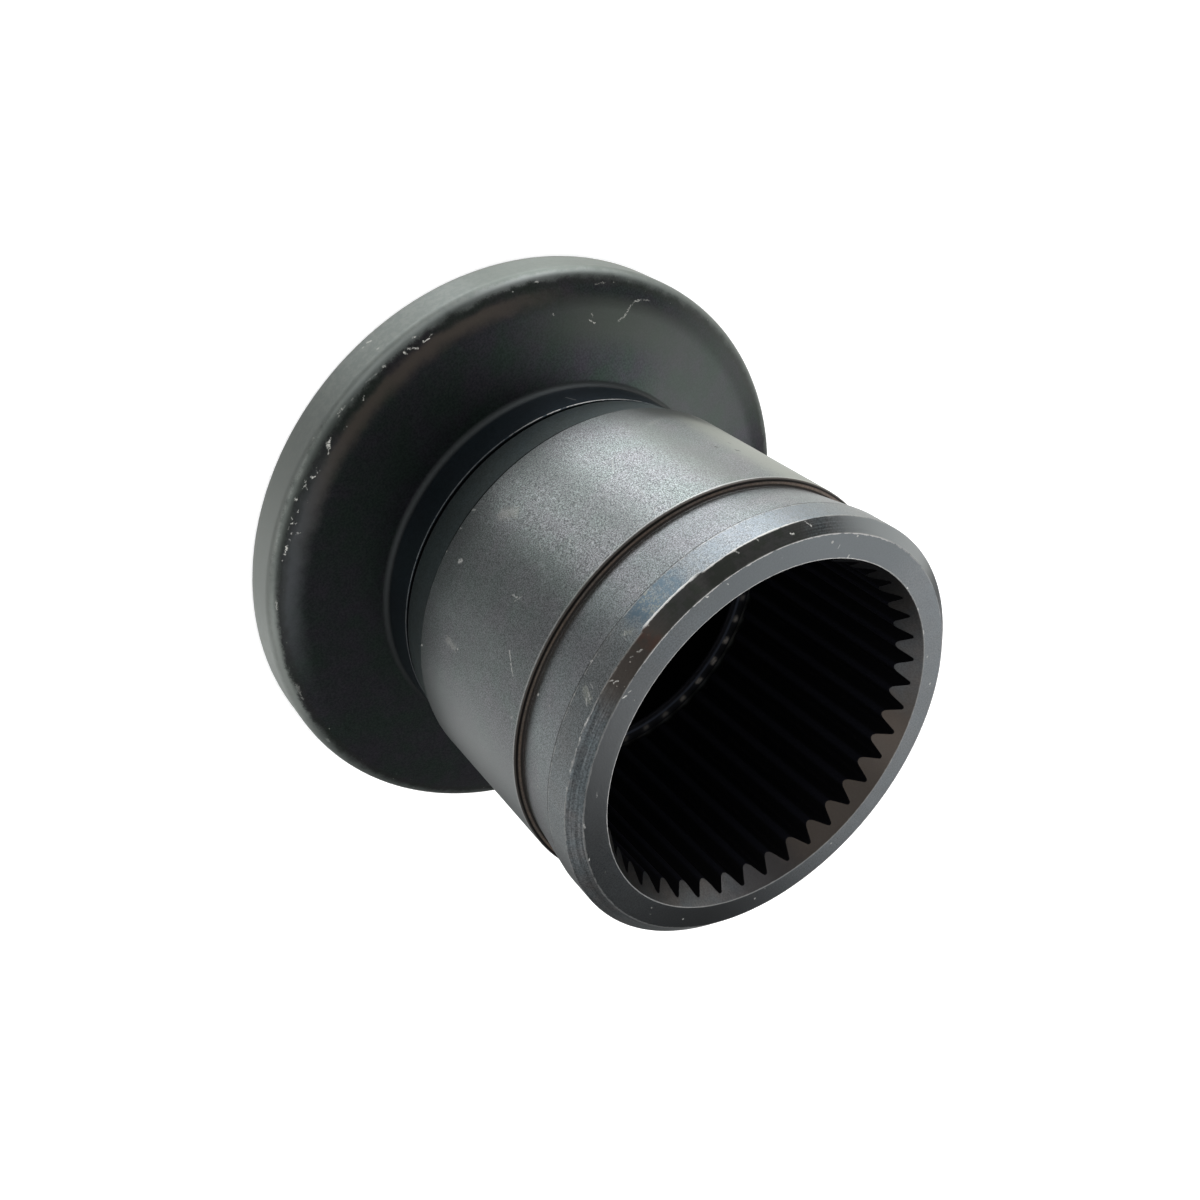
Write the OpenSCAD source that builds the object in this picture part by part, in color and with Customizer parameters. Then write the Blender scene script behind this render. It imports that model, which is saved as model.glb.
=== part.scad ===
// Flange coupling: a one-piece blackened steel sleeve with a splined bore,
// turned from a forging. It stands on the flat back of its flange, with the
// origin at the centre of that face and the splined mouth pointing along +Z.

/* [Flange] */
// Outside diameter of the flange
flange_d = 112; // [95:1:140]
// Thickness of the flange where its front face meets the neck
flange_root_h = 12.7; // [11:0.1:18]
// Thickness the sloping front face would reach at the outside diameter
flange_rim_h = 9.1; // [7:0.1:10.5]
// Radius of the round corner between the front face and the rim
rim_corner_r = 2.2; // [1:0.1:3]
// Width of the gently curved band inside that corner
rim_band_w = 3.6; // [2:0.1:6]
// Extra slope of that band at the rim, in degrees
rim_band_slope = 9; // [4:1:14]
// Radius of the curve that joins the band to the front face
rim_band_r = 16; // [8:1:20]
// Fillet between the neck and the front face
neck_fillet_r = 1.2; // [0.5:0.1:1.6]

/* [Neck] */
// How far the neck lies below the seat, on the radius
neck_inset = 1.7; // [1:0.1:3]
// Length of the neck, from the front face to the undercut
neck_h = 7.7; // [5:0.1:14]
// Width of the undercut between the neck and the taper
undercut_w = 0.85; // [0.5:0.05:1.5]
// Depth of the undercut below the neck
undercut_depth = 1.1; // [0.5:0.1:2]
// Chamfer on the neck's edge at the undercut
undercut_chamfer = 0.25; // [0.1:0.05:0.5]
// Length of the taper between the undercut and the seat
taper_h = 8.45; // [5:0.05:14]
// How far the taper falls over its length, on the radius
taper_drop = 1.4; // [0.6:0.1:2.5]

/* [Seat] */
// Diameter of the ground seat
seat_d = 75; // [73:0.1:90]
// Length of the ground seat
seat_h = 31.65; // [20:0.05:60]
// Height of the small step down from the seat to the taper
seat_step = 0.2; // [0.1:0.05:0.3]

/* [Retaining groove] */
// Length of the ramp that runs down to the groove's foot
ramp_h = 9.4; // [5:0.1:14]
// Depth of the groove at its foot
groove_depth = 1.3; // [0.6:0.1:1.8]
// Fillet at the groove's foot
groove_fillet_r = 0.4; // [0.2:0.1:0.6]
// Radial size of the chamfer on the seat's edge at the groove
seat_chamfer = 0.3; // [0.1:0.05:0.4]
// Length of that chamfer along the axis
seat_chamfer_h = 0.55; // [0.2:0.05:1]
// Length of the collar between the ramp and the mouth chamfer
collar_h = 4.9; // [2:0.1:10]

/* [Mouth] */
// Radial size of the outside chamfer at the mouth
mouth_chamfer = 2; // [1:0.1:2.4]
// Length of the outside chamfer along the axis
mouth_chamfer_h = 1.8; // [1:0.1:3]
// How far the lead-in cone opens past the bottoms of the spaces
lead_in_margin = 0.8; // [0.3:0.1:1.5]
// Angle of the lead-in cone from the axis, in degrees
lead_in_angle = 28; // [20:1:45]

/* [Internal spline] */
// Number of teeth
teeth = 39; // [36:1:42]
// Pitch diameter, where a tooth and a space are equally wide
pitch_d = 59.4; // [56:0.1:62]
// Pressure angle at the pitch diameter, in degrees
pressure_angle = 45; // [40:1:46]
// Height of a tooth inside the pitch circle
addendum = 0.6; // [0.4:0.05:0.8]
// Depth of a space outside the pitch circle
dedendum = 0.9; // [0.6:0.05:0.95]
// Length from the mouth face to the far ends of the teeth
spline_h = 42.4; // [25:0.1:48]

/* [Rear bore] */
// Width of the relief between the teeth and the shoulder
relief_w = 2; // [1:0.1:4]
// Depth of the relief below the bottoms of the spaces
relief_depth = 0.3; // [0.2:0.1:1]
// How far the shoulder stands in from the tooth tips
shoulder_step = 1.6; // [1:0.1:6]
// Chamfer on the shoulder's inner edge
shoulder_chamfer = 0.4; // [0.2:0.1:0.8]
// Chamfer at the back face
rear_chamfer = 1; // [0.5:0.1:2]

/* [Hidden] */

// Full turn of a revolved surface, and the largest step along a rounded corner
$fn = 180;
corner_step = 9;
corner_steps_min = 3;
// How far a cutter runs past the face that it opens
past = 1;

flange_r = flange_d / 2;
seat_r = seat_d / 2;
neck_r = seat_r - neck_inset;
taper_large_r = seat_r - seat_step;
taper_small_r = taper_large_r - taper_drop;
groove_r = seat_r - groove_depth;
undercut_r = min(neck_r, taper_small_r) - undercut_depth;

// Heights above the back face, each stacked on the one before
undercut_z = flange_root_h + neck_h;
taper_z = undercut_z + undercut_w;
seat_z = taper_z + taper_h;
groove_z = seat_z + seat_h + seat_chamfer_h;
collar_z = groove_z + ramp_h;
mouth_chamfer_z = collar_z + collar_h;
mouth_z = mouth_chamfer_z + mouth_chamfer_h;

// The front face falls away from the neck in a straight cone, then a little
// faster over the band beside the rim
face_slope = atan((flange_root_h - flange_rim_h) / (flange_r - neck_r));
band_start_r = flange_r - rim_corner_r - rim_band_w;
band_start_z = flange_root_h - (band_start_r - neck_r) * tan(face_slope);
rim_z = band_start_z - (flange_r - band_start_r) * tan(face_slope + rim_band_slope);

// Spline radii and the rounded nose of a tooth
pitch_r = pitch_d / 2;
tip_r = pitch_r - addendum;
root_r = pitch_r + dedendum;
base_r = pitch_r * cos(pressure_angle);
tooth_pitch = 360 / teeth;
flank_steps = 2;
nose_steps = 4;
nose_tilt = pressure_at(tip_r) + tooth_half(tip_r);
nose_turn = 90 - nose_tilt;
nose_half_w = tip_r * sin(tooth_half(tip_r));
nose_r = nose_half_w / (sin(nose_turn) - (1 - cos(nose_turn)) * tan(nose_tilt));
flank_start_r = norm([tip_r + nose_r * (1 - cos(nose_turn)), nose_r * sin(nose_turn)]);

spline_z = mouth_z - spline_h;
shoulder_z = spline_z - relief_w;
relief_r = root_r + relief_depth;
rear_bore_r = tip_r - shoulder_step;
lead_in_r = root_r + lead_in_margin;

// Involute of an angle, in degrees
function involute(a) = tan(a) * 180 / PI - a;

// Pressure angle where a flank crosses a radius
function pressure_at(r) = acos(base_r / r);

// Half the angle that a tooth takes up at a radius
function tooth_half(r) =
    tooth_pitch / 4 - involute(pressure_angle) + involute(pressure_at(r));

function polar(r, a) = [r * cos(a), r * sin(a)];

// One side of a tooth, from the root of the space to the start of the nose
function flank(side) = [
    for (i = [0 : flank_steps])
        let (r = root_r + (flank_start_r - root_r) * i / flank_steps)
        polar(r, side * tooth_half(r))
];

// The rounded nose, between the two flanks
function nose() = [
    for (i = [1 : nose_steps - 1])
        let (a = nose_turn * (2 * i / nose_steps - 1))
        [tip_r + nose_r * (1 - cos(a)), nose_r * sin(a)]
];

function reversed(list) = [for (i = [len(list) - 1 : -1 : 0]) list[i]];

function turned(p, a) = [p.x * cos(a) - p.y * sin(a), p.x * sin(a) + p.y * cos(a)];

// Outline of the splined hole: every tooth in turn, with a space on +X
function spline_outline() = [
    for (i = [0 : teeth - 1])
        for (p = concat(flank(-1), nose(), reversed(flank(1))))
            turned(p, (i + 0.5) * tooth_pitch)
];

function unit(v) = v / norm(v);

// The points that replace corner p, between its neighbours a and b, when it
// is rounded to radius r
function corner(a, p, b, r) =
    let (
        u = unit(a - p),
        v = unit(b - p),
        half = acos(u * v) / 2,
        centre = p + unit(u + v) * r / sin(half),
        from = p + u * r / tan(half),
        swing = 180 - 2 * half,
        side = sign(u.x * v.y - u.y * v.x),
        steps = max(corner_steps_min, ceil(swing / corner_step))
    )
    [for (i = [0 : steps]) centre + turned(from - centre, -side * swing * i / steps)];

// An outline from points [x, y, radius], with each radius above 0 rounded
function rounded(list) = [
    for (i = [0 : len(list) - 1])
        let (
            n = len(list),
            xy = function (k) [list[k % n].x, list[k % n].y]
        )
        each list[i].z > 0
            ? corner(xy(i + n - 1), xy(i), xy(i + 1), list[i].z)
            : [xy(i)]
];

// Half section of the blank, from the axis outwards
function section() = rounded([
    [0, 0, 0],
    [flange_r, 0, 0],
    [flange_r, rim_z, rim_corner_r],
    [band_start_r, band_start_z, rim_band_r],
    [neck_r, flange_root_h, neck_fillet_r],
    [neck_r, undercut_z - undercut_chamfer, 0],
    [neck_r - undercut_chamfer, undercut_z, 0],
    [undercut_r, undercut_z, 0],
    [undercut_r, taper_z, 0],
    [taper_small_r, taper_z, 0],
    [taper_large_r, seat_z, 0],
    [seat_r, seat_z, 0],
    [seat_r, groove_z - seat_chamfer_h, 0],
    [seat_r - seat_chamfer, groove_z, 0],
    [groove_r, groove_z, groove_fillet_r],
    [seat_r, collar_z, 0],
    [seat_r, mouth_chamfer_z, 0],
    [seat_r - mouth_chamfer, mouth_z, 0],
    [0, mouth_z, 0]
]);

module blank() {
    rotate_extrude() polygon(section());
}

// The splined hole, open at the mouth
module spline_hole() {
    translate([0, 0, spline_z])
        linear_extrude(spline_h + past) polygon(spline_outline());
}

// Cone that guides a shaft into the teeth and bevels their ends
module lead_in() {
    reach = (lead_in_r - tip_r) / tan(lead_in_angle) + past;
    slope = tan(lead_in_angle);
    translate([0, 0, mouth_z - reach])
        cylinder(
            h = reach + past,
            r1 = lead_in_r - reach * slope,
            r2 = lead_in_r + past * slope
        );
}

// Groove in which the teeth run out, in front of the shoulder
module relief() {
    translate([0, 0, shoulder_z]) cylinder(h = relief_w, r = relief_r);
}

// Plain bore through the flange, chamfered at both ends
module rear_bore() {
    translate([0, 0, -past]) cylinder(h = shoulder_z + 2 * past, r = rear_bore_r);
    translate([0, 0, shoulder_z - shoulder_chamfer])
        cylinder(
            h = shoulder_chamfer + past,
            r1 = rear_bore_r,
            r2 = rear_bore_r + shoulder_chamfer + past
        );
    translate([0, 0, -past])
        cylinder(
            h = rear_chamfer + past,
            r1 = rear_bore_r + rear_chamfer + past,
            r2 = rear_bore_r
        );
}

module flange_coupling() {
    color([0.2, 0.21, 0.21])
        difference() {
            blank();
            spline_hole();
            lead_in();
            relief();
            rear_bore();
        }
}

flange_coupling();
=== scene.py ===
"""Looks of the flange coupling: one turned steel piece, blackened, oiled and worn, on a pale floor."""

import math

import bpy
from mathutils import Matrix, Vector


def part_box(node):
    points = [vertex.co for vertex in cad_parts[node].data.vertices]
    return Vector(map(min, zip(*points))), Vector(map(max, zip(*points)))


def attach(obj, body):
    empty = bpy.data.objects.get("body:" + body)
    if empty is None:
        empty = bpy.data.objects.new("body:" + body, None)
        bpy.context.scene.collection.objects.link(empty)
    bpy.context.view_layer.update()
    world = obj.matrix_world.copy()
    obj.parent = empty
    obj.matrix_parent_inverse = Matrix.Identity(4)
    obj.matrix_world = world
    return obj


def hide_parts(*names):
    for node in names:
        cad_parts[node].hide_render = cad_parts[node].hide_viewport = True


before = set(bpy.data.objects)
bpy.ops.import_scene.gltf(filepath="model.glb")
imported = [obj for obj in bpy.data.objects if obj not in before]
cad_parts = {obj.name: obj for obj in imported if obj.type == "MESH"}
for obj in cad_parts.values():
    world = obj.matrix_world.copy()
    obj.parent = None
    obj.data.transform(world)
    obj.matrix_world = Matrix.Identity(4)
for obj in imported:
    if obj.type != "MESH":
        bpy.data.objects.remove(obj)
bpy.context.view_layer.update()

MM = 0.001
NODE = "flange_coupling"

# Sizes in millimetres. The part's box in model.glb gives the flange's radius and the mouth's height
_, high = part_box(NODE)
FLANGE_R = high.x / MM
MOUTH_Z = high.z / MM
FLANGE_ROOT_Z = 12.7
FLANGE_RIM_Z = 9.1
RIM_CORNER_R = 2.2
RIM_BAND_W = 3.6
RIM_BAND_SLOPE = math.radians(9)
RIM_BAND_R = 16
NECK_FILLET_R = 1.2
SEAT_R = 37.5
NECK_R = SEAT_R - 1.7
NECK_H = 7.7
UNDERCUT_W = 0.85
UNDERCUT_DEPTH = 1.1
UNDERCUT_CHAMFER = 0.25
TAPER_H = 8.45
TAPER_LARGE_R = SEAT_R - 0.2
TAPER_SMALL_R = TAPER_LARGE_R - 1.4
SEAT_H = 31.65
SEAT_CHAMFER = 0.3
SEAT_CHAMFER_H = 0.55
GROOVE_R = SEAT_R - 1.3
GROOVE_FILLET_R = 0.4
RAMP_H = 9.4
COLLAR_H = 4.9
MOUTH_R = SEAT_R - 2
REAR_CHAMFER = 1
TEETH = 39
PITCH_R = 29.7
PRESSURE_ANGLE = math.radians(45)
TIP_R = PITCH_R - 0.6
ROOT_R = PITCH_R + 0.9
LEAD_IN_R = ROOT_R + 0.8
LEAD_IN_ANGLE = math.radians(28)
RELIEF_R = ROOT_R + 0.3
SPLINE_Z = MOUTH_Z - 42.4
SHOULDER_Z = SPLINE_Z - 2
SHOULDER_CHAMFER = 0.4
REAR_BORE_R = TIP_R - 1.6

# Heights above the back face, each stacked on the one before
UNDERCUT_Z = FLANGE_ROOT_Z + NECK_H
TAPER_Z = UNDERCUT_Z + UNDERCUT_W
SEAT_Z = TAPER_Z + TAPER_H
GROOVE_Z = SEAT_Z + SEAT_H + SEAT_CHAMFER_H
COLLAR_Z = GROOVE_Z + RAMP_H
CHAMFER_Z = COLLAR_Z + COLLAR_H
UNDERCUT_R = min(NECK_R, TAPER_SMALL_R) - UNDERCUT_DEPTH
FACE_SLOPE = math.atan((FLANGE_ROOT_Z - FLANGE_RIM_Z) / (FLANGE_R - NECK_R))
BAND_R = FLANGE_R - RIM_CORNER_R - RIM_BAND_W
BAND_Z = FLANGE_ROOT_Z - (BAND_R - NECK_R) * math.tan(FACE_SLOPE)
RIM_Z = BAND_Z - (FLANGE_R - BAND_R) * math.tan(FACE_SLOPE + RIM_BAND_SLOPE)

# Camera at the photograph's viewing angle: distance and aim in millimetres, as the lens is
VIEW_AZIMUTH = math.radians(-87.22)
VIEW_ELEVATION = math.radians(45.487)
VIEW_ROLL = math.radians(129.305)
VIEW_DISTANCE = 221.16
VIEW_AIM = (0.600, -5.564, 33.507)
LENS = 37.265


def direction(azimuth, elevation):
    """Unit vector towards an azimuth from +X and an elevation, in radians."""
    flat = math.cos(elevation)
    return Vector((flat * math.cos(azimuth), flat * math.sin(azimuth), math.sin(elevation)))


def facing(back, roll=0.0):
    """Rotation of a camera or lamp that looks against back, turned by roll about it."""
    level = Vector((0, 0, 1)) - back * back.z
    level.normalize()
    side = level.cross(back)
    up = level * math.cos(roll) - side * math.sin(roll)
    right = up.cross(back)
    return Matrix((right, up, back)).transposed().to_4x4()


def new_object(name, data):
    """An object in the scene that shows the data."""
    made = bpy.data.objects.new(name, data)
    bpy.context.scene.collection.objects.link(made)
    return made


def photo_camera():
    camera = new_object("photo_camera", bpy.data.cameras.new("photo_camera"))
    camera.data.lens = LENS
    camera.data.clip_start = 0.01
    back = direction(VIEW_AZIMUTH, VIEW_ELEVATION)
    place = (Vector(VIEW_AIM) + back * VIEW_DISTANCE) * MM
    camera.matrix_world = Matrix.Translation(place) @ facing(back, VIEW_ROLL)
    bpy.context.scene.camera = camera


# Lamps round the part: azimuth, elevation, half width and half height in degrees, radiance, and a tint if any
LAMPS = {
    "key_softbox": (203, -18, 17, 38, 2.54, (0.98, 0.98, 1.0)),
    "key_core": (207, 14, 13, 9, 1.14),
    "side_softbox": (152, -20, 26, 40, 0.83, (1.0, 1.0, 0.96)),
    "front_softbox": (243, -46, 18, 16, 1.37),
    "front_middle": (243, -12, 16, 14, 0.21),
    "front_high": (243, 18, 14, 10, 0.8),
    "left_high": (272, 20, 14, 10, 1.02),
    "left_low": (296, -48, 26, 20, 0.2),
    "far_low": (348, -38, 16, 30, 0.39),
    "far_side_low": (20, -38, 16, 30, 0.43),
    "far_high": (316, 22, 16, 18, 1.35),
    "far_side_high": (0, 22, 24, 18, 0.35),
    "right_high": (124, 40, 14, 15, 1.35),
    "right_edge": (100, 38, 9, 12, 1.83),
    "top_fill": (140, 60, 11, 9, 0.19),
    "right_low": (95, -20, 20, 30, 0.245),
}
FLOOR_WASH = (0, 90, 42, 42, 1.9)
LAMP_DISTANCE = 1.1
ROOM_BELOW = 0.197
ROOM_ABOVE = 0.204
BACKDROP = 1.25


def softbox(name, azimuth, elevation, half_width, half_height, radiance, colour=(1, 1, 1)):
    """A large lamp that faces the part and fills the given half angles, in degrees, as seen from it."""
    lamp = bpy.data.lights.new(name, "AREA")
    lamp.shape = "RECTANGLE"
    lamp.size = 2 * LAMP_DISTANCE * math.tan(math.radians(half_width))
    lamp.size_y = 2 * LAMP_DISTANCE * math.tan(math.radians(half_height))
    lamp.energy = radiance * math.pi * lamp.size * lamp.size_y
    lamp.color = colour
    box = new_object(name, lamp)
    back = direction(math.radians(azimuth), math.radians(elevation))
    centre = Vector((0, 0, MOUTH_Z / 2)) * MM
    box.matrix_world = Matrix.Translation(centre + back * LAMP_DISTANCE) @ facing(back)
    box.visible_camera = False
    return box


def studio_lights():
    for name, lamp in LAMPS.items():
        softbox(name, *lamp)
    wash = softbox("floor_wash", *FLOOR_WASH)
    wash.visible_glossy = False


def studio_world():
    """A dim and almost even room, and a white backdrop that only the camera sees."""
    world = bpy.data.worlds.new("studio_room")
    bpy.context.scene.world = world
    world.use_nodes = True
    world.node_tree.nodes.clear()
    w = Wires(world.node_tree)
    parts = w.node("ShaderNodeSeparateXYZ", w.node("ShaderNodeTexCoord").outputs["Generated"])
    room = w.node("ShaderNodeBackground")
    w.put(w.fade(parts.outputs["Z"], -0.25, 0.65, ROOM_BELOW, ROOM_ABOVE), room.inputs["Strength"])
    backdrop = w.node("ShaderNodeBackground")
    w.put(BACKDROP, backdrop.inputs["Strength"])
    by_camera = w.node("ShaderNodeLightPath").outputs["Is Camera Ray"]
    chosen = w.node("ShaderNodeMixShader", by_camera, room.outputs[0], backdrop.outputs[0])
    w.node("ShaderNodeOutputWorld", chosen.outputs[0])


def painted_sheet(name, corners, paint, colour):
    """A flat sheet of one face in a dull paint, and that paint's material."""
    mesh = bpy.data.meshes.new(name)
    mesh.from_pydata(corners, [], [tuple(range(len(corners)))])
    sheet = new_object(name, mesh)
    material = bpy.data.materials.new(paint)
    material.use_nodes = True
    shader = material.node_tree.nodes["Principled BSDF"]
    shader.inputs["Base Color"].default_value = colour
    shader.inputs["Specular IOR Level"].default_value = 0
    mesh.materials.append(material)
    return sheet, material


def pale_floor():
    """A wide plain floor that the part's gloss doesn't mirror. It glows more the further out it is."""
    reach = 3
    corners = [(-reach, -reach, 0), (reach, -reach, 0), (reach, reach, 0), (-reach, reach, 0)]
    floor, paint = painted_sheet("pale_floor", corners, "floor_paint", (0.9, 0.9, 0.9, 1))
    shader = paint.node_tree.nodes["Principled BSDF"]
    shader.inputs["Roughness"].default_value = 0.9
    shader.inputs["Emission Strength"].default_value = 1.2
    w = Wires(paint.node_tree)
    place = w.node("ShaderNodeTexCoord").outputs["Object"]
    glow = w.fade(w.vector("LENGTH", place), 0.3, 1.6, 0.25, 1.0)
    w.put(w.combined(glow, glow, glow), shader.inputs["Emission Color"])
    floor.visible_glossy = False
    floor.visible_shadow = False


def bore_shade():
    """A dark disc just under the floor, painted shade for the floor in the part's shadow, which closes the
    bore from below for what doesn't see the floor.
    """
    radius, sides, depth = 50 * MM, 48, 0.3 * MM
    turns = [2 * math.pi * i / sides for i in range(sides)]
    rim = [(radius * math.cos(turn), radius * math.sin(turn), -depth) for turn in turns]
    shade, _ = painted_sheet("bore_shade", rim, "shade_black", (0.01, 0.01, 0.01, 1))


class Wires:
    """Adds nodes to a tree and joins them. A value is a number, a tuple or another node's socket."""

    def __init__(self, tree):
        self.tree = tree

    def put(self, value, socket):
        if isinstance(value, bpy.types.NodeSocket):
            self.tree.links.new(value, socket)
        else:
            socket.default_value = value

    def node(self, kind, *values, **settings):
        """A new node with its settings made and the values put into its first sockets."""
        made = self.tree.nodes.new(kind)
        for name, setting in settings.items():
            setattr(made, name, setting)
        for value, socket in zip(values, made.inputs):
            self.put(value, socket)
        return made

    def math(self, operation, *values):
        return self.node("ShaderNodeMath", *values, operation=operation).outputs[0]

    def product(self, first, *others):
        """All the values multiplied."""
        for other in others:
            first = self.math("MULTIPLY", first, other)
        return first

    def vector(self, operation, *values):
        made = self.node("ShaderNodeVectorMath", *values, operation=operation)
        return made.outputs["Value" if operation in ("LENGTH", "DOT_PRODUCT", "DISTANCE") else "Vector"]

    def scaled(self, vector, factor):
        made = self.node("ShaderNodeVectorMath", vector, operation="SCALE")
        self.put(factor, made.inputs["Scale"])
        return made.outputs["Vector"]

    def combined(self, x, y, z):
        return self.node("ShaderNodeCombineXYZ", x, y, z).outputs[0]

    def fade(self, value, start, end, first=0.0, last=1.0):
        """Smooth change from first to last as value goes from start to end."""
        ends = (start, end, first, last)
        made = self.node("ShaderNodeMapRange", value, *ends, interpolation_type="SMOOTHSTEP")
        return made.outputs["Result"]

    def noise(self, vector, scale, detail=3.0, roughness=0.55, output="Fac"):
        made = self.node("ShaderNodeTexNoise")
        settings = {"Vector": vector, "Scale": scale, "Detail": detail, "Roughness": roughness}
        for name, value in settings.items():
            self.put(value, made.inputs[name])
        return made.outputs[output]

    def sway(self, vector, scale, detail, roughness):
        """Noise that swings about 0."""
        return self.math("SUBTRACT", self.noise(vector, scale, detail, roughness), 0.5)

    def mixed(self, factor, first, second):
        """Colour between first and second."""
        made = self.node("ShaderNodeMix", factor, data_type="RGBA")
        colours = [s for s in made.inputs if s.type == "RGBA"]
        for value, socket in zip((first, second), colours):
            self.put(value if isinstance(value, bpy.types.NodeSocket) else (*value[:3], 1), socket)
        return [s for s in made.outputs if s.type == "RGBA"][0]

    def group(self, group, **values):
        """Places a node group. A keyword's underscores stand for the spaces of a socket's name."""
        made = self.node("ShaderNodeGroup", node_tree=group)
        for name, value in values.items():
            self.put(value, made.inputs[name.replace("_", " ")])
        return made


def new_group(name, inputs, outputs):
    """An empty shader node group and its wires. Its sockets hold values, but for the vectors listed here."""
    vectors = ("Point", "Around", "Start", "End")
    group = bpy.data.node_groups.new(name, "ShaderNodeTree")
    for side, listed in (("INPUT", inputs), ("OUTPUT", outputs)):
        for socket in listed:
            kind = "NodeSocketVector" if socket in vectors else "NodeSocketFloat"
            group.interface.new_socket(socket, in_out=side, socket_type=kind)
    wires = Wires(group)
    start = wires.node("NodeGroupInput").outputs
    end = wires.node("NodeGroupOutput").inputs
    return group, wires, start, end


def turned_coordinates():
    """Place on the part in millimetres: the point, its radius, its height, and a vector that runs round."""
    group, w, _, end = new_group("turned coordinates", [], ["Point", "Radius", "Height", "Around"])
    place = w.node("ShaderNodeTexCoord").outputs["Object"]
    point = w.scaled(place, 1 / MM)
    x, y, z = w.node("ShaderNodeSeparateXYZ", point).outputs
    radius = w.vector("LENGTH", w.combined(x, y, 0))
    # Distance along the outline, near enough, on walls and faces alike
    along = w.math("SUBTRACT", z, w.product(radius, 0.8))
    around = w.combined(w.math("DIVIDE", x, radius), w.math("DIVIDE", y, radius), along)
    for value, socket in zip((point, radius, z, around), end):
        w.put(value, socket)
    return group


def turning_marks():
    """Fine rings left by the tool, broken up a little round the turn."""
    group, w, start, end = new_group("turning marks", ["Around", "Pitch"], ["Height"])
    rings = w.math("DIVIDE", 1.0, start["Pitch"])
    stretch = w.combined(3.0, 3.0, rings)
    fine = w.noise(w.vector("MULTIPLY", start["Around"], stretch), 1.0, 3.0, 0.7)
    broad = w.noise(w.vector("MULTIPLY", start["Around"], w.combined(2.0, 2.0, 0.9)), 1.0, 2.0)
    w.put(w.math("ADD", w.product(fine, 0.75), w.product(broad, 0.25)), end["Height"])
    return group


def steel_grain():
    """Fine grain of an oxide skin, and the clouds that its thickness makes."""
    group, w, start, end = new_group("steel grain", ["Point", "Size"], ["Height", "Cloud", "Tone"])
    frequency = w.math("DIVIDE", 1.0, start["Size"])
    w.put(w.noise(start["Point"], frequency, 2.0, 0.6), end["Height"])
    w.put(w.fade(w.noise(start["Point"], 0.16, 4.0, 0.6), 0.32, 0.68), end["Cloud"])
    shifted = w.vector("ADD", start["Point"], (37.0, 11.0, 5.0))
    w.put(w.fade(w.noise(shifted, 0.3, 3.0, 0.6), 0.3, 0.7), end["Tone"])
    return group


def edge_wear():
    """Mask along a turned edge, given by its radius and height, with a ragged width.

    Gaps is about the share of the edge that the mask leaves out."""
    inputs = ["Point", "Radius", "Height", "Edge Radius", "Edge Height", "Width", "Raggedness", "Gaps"]
    group, w, start, end = new_group("edge wear", inputs, ["Mask"])
    across = w.math("SUBTRACT", start["Radius"], start["Edge Radius"])
    along = w.math("SUBTRACT", start["Height"], start["Edge Height"])
    distance = w.vector("LENGTH", w.combined(across, along, 0))
    ragged = w.product(w.sway(start["Point"], 0.9, 4.0, 0.7), start["Raggedness"])
    growth = w.math("MULTIPLY_ADD", ragged, 4.0, 1.0)
    width = w.math("MAXIMUM", w.product(start["Width"], growth), 0.001)
    kept = w.math("SUBTRACT", w.noise(start["Point"], 0.45, 4.0, 0.75), start["Gaps"])
    near = w.fade(w.math("DIVIDE", distance, width), 1.0, 0.35)
    w.put(w.product(near, w.fade(kept, -0.05, 0.05)), end["Mask"])
    return group


def scored_mark():
    """Mask of one short scratch, nick or smear, as wide as Width about the line from Start to End."""
    group, w, start, end = new_group("scored mark", ["Point", "Start", "End", "Width"], ["Mask"])
    run = w.vector("SUBTRACT", start["End"], start["Start"])
    offset = w.vector("SUBTRACT", start["Point"], start["Start"])
    length = w.math("MAXIMUM", w.vector("DOT_PRODUCT", run, run), 0.0001)
    share = w.math("DIVIDE", w.vector("DOT_PRODUCT", offset, run), length)
    share = w.math("MINIMUM", w.math("MAXIMUM", share, 0.0), 1.0)
    distance = w.vector("DISTANCE", offset, w.scaled(run, share))
    w.put(w.fade(w.math("DIVIDE", distance, start["Width"]), 1.0, 0.4), end["Mask"])
    return group


def loose_specks():
    """Scattered small specks. Amount is the share of cells that hold one."""
    group, w, start, end = new_group("loose specks", ["Point", "Cell", "Amount"], ["Mask"])
    cells = w.node("ShaderNodeTexVoronoi", start["Point"])
    w.put(w.math("DIVIDE", 1.0, start["Cell"]), cells.inputs["Scale"])
    parts = w.node("ShaderNodeSeparateColor", cells.outputs["Color"])
    chosen = w.math("LESS_THAN", parts.outputs[0], start["Amount"])
    size = w.math("MULTIPLY_ADD", parts.outputs[1], 0.16, 0.06)
    dot = w.fade(w.math("DIVIDE", cells.outputs["Distance"], size), 1.2, 0.7)
    w.put(w.product(dot, chosen), end["Mask"])
    return group


# Colours that lie over more than one finish
BARE_STEEL = (0.62, 0.61, 0.58)
DULL_STEEL = (0.5, 0.5, 0.48)
DRY_NICK = (0.52, 0.52, 0.48)
# Painted shade: black in the undercut's step, and near-black brown in the groove's corner
SHADOW_BLACK = (0.006, 0.007, 0.008)
PAINTED_CORNER_SHADE = (0.022, 0.019, 0.017)


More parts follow.
